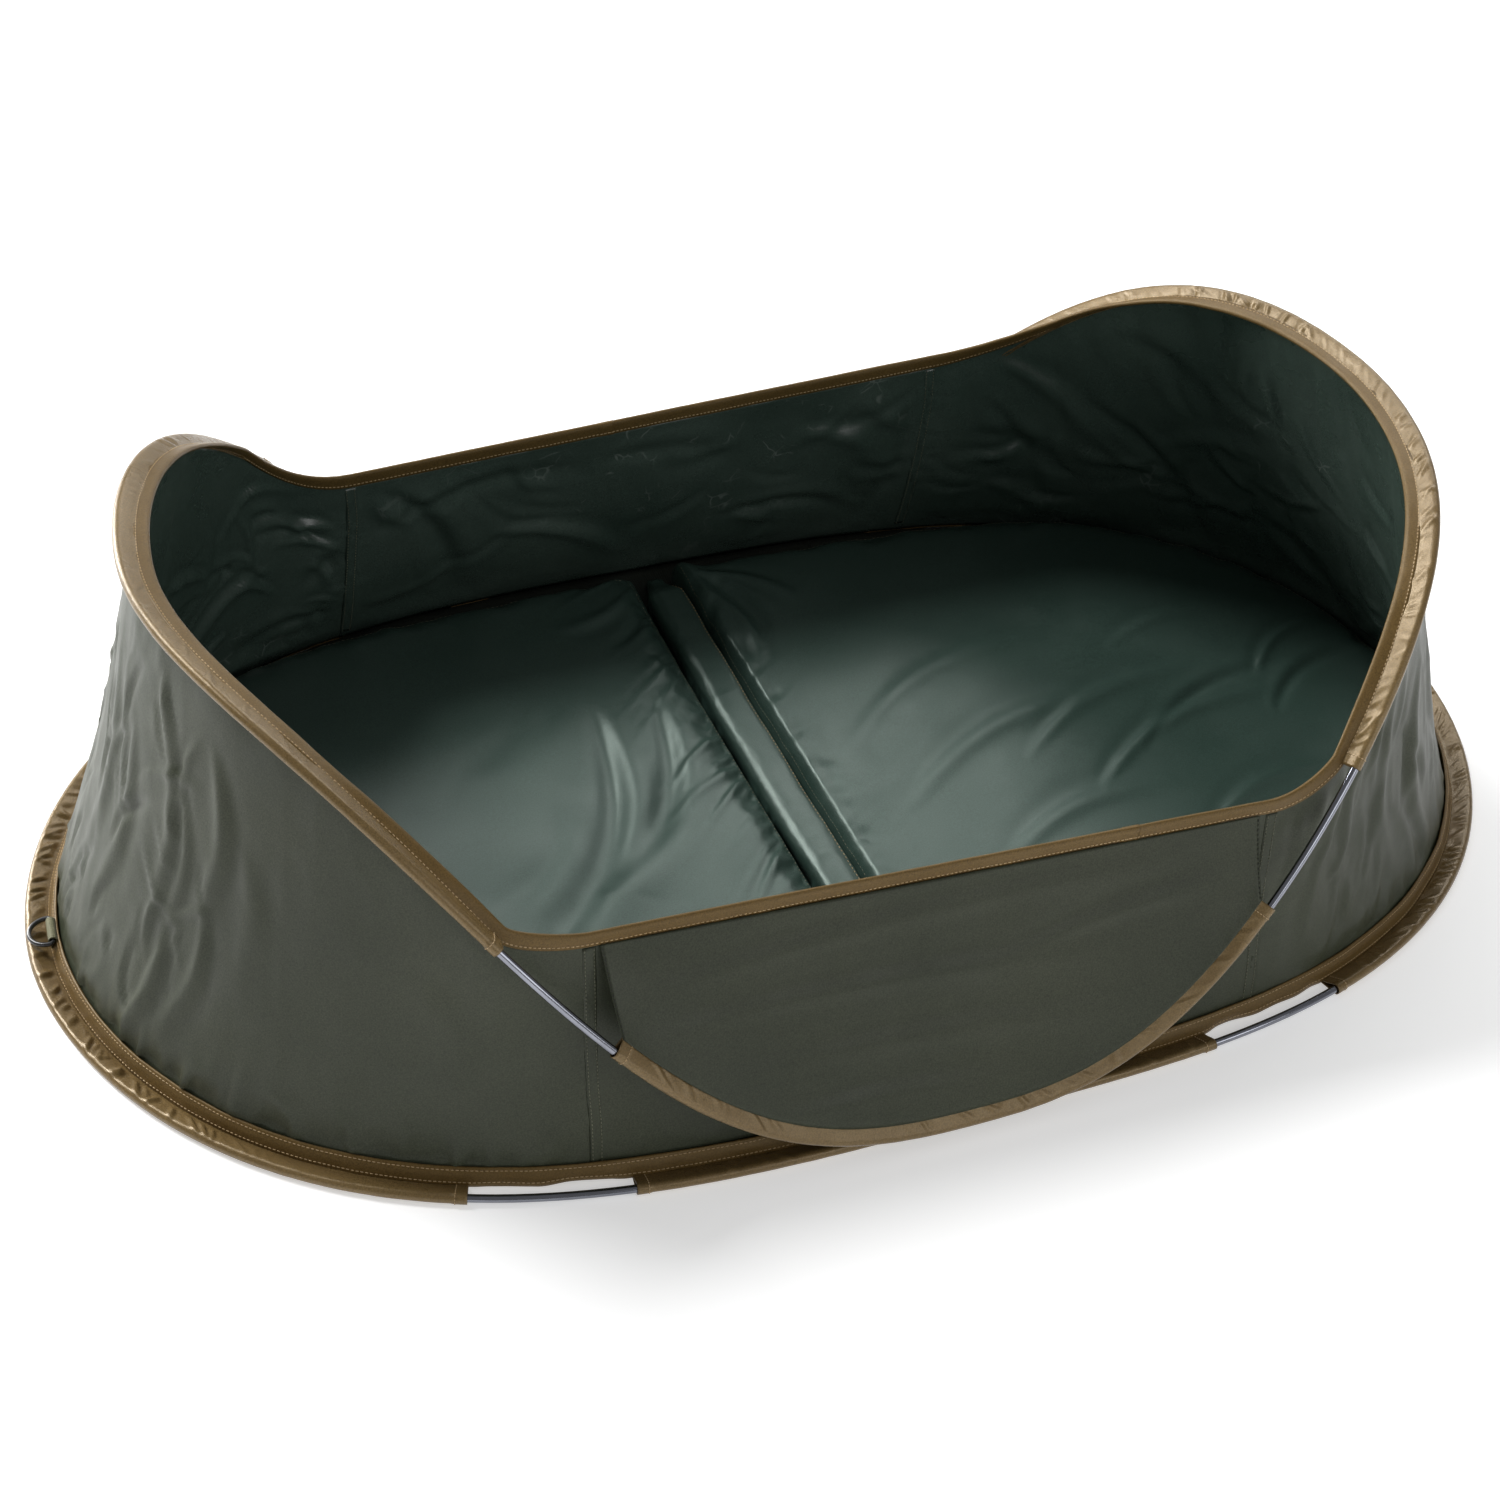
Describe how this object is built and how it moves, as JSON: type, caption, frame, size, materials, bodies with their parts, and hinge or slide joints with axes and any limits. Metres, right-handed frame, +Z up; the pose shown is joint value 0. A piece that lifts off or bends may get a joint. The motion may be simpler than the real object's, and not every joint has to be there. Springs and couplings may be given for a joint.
{
  "type": "pop-up padded cradle",
  "caption": "Pop-up padded cradle: sprung wire hoops hold an oval nylon tub with arched ends, low overlaid sides, bound edges and a padded folding floor.",
  "frame": {"origin": "centre of the oval hem, on the ground that the cradle stands on", "axes": "+X along the cradle towards the lower arch, +Y towards the back long side, +Z up"},
  "size_m": [1.2, 0.7385, 0.3422],
  "materials": {
    "spring_steel": "polished sprung wire",
    "ferrule_steel": "crimped, satin",
    "wire_sleeve": "coated satin tape, brown, puckered",
    "binding_tape": "folded brown binding tape with tan stitching",
    "coated_nylon": "dark olive coated nylon, soft sheen",
    "base_fabric": "heavier coated base fabric, matt",
    "pad_lining": "smooth satin lining, blue-green",
    "foam": "closed-cell foam",
    "webbing": "olive woven webbing",
    "ring_steel": "black enamelled wire"
  },
  "bodies": {
    "cradle": {"back_flap": "coated_nylon", "back_flap_sleeve": "wire_sleeve", "back_hem_sleeve": "wire_sleeve", "back_side_wall": "coated_nylon", "d_ring_tab": "webbing", "floor_sheet": "base_fabric", "fold_roll_core": "foam", "fold_roll_cover": "pad_lining", "front_flap": "coated_nylon", "front_flap_sleeve": "wire_sleeve", "front_hem_sleeve": "wire_sleeve", "front_side_wall": "coated_nylon", "hem_hoop_ferrule": "ferrule_steel", "hem_hoop_wire": "spring_steel", "hem_tape": "binding_tape", "left_arch_sleeve": "wire_sleeve", "left_end_wall": "coated_nylon", "left_foam_slab": "foam", "left_hem_sleeve": "wire_sleeve", "left_pad_lining": "pad_lining", "right_arch_sleeve": "wire_sleeve", "right_end_wall": "coated_nylon", "right_foam_slab": "foam", "right_hem_sleeve": "wire_sleeve", "right_pad_lining": "pad_lining", "rim_binding_left": "binding_tape", "rim_binding_right": "binding_tape", "rim_hoop_ferrule": "ferrule_steel", "rim_hoop_wire": "spring_steel"},
    "ring": {"d_ring": "ring_steel"}
  },
  "joints": [
    {"name": "d_ring_swing", "type": "hinge", "parent": "cradle", "child": "ring", "pos_m": [-0.57878, 0.0279, 0.013], "axis": [0.1143, 0.9934, 0], "range_deg": [0, 95]}
  ]
}
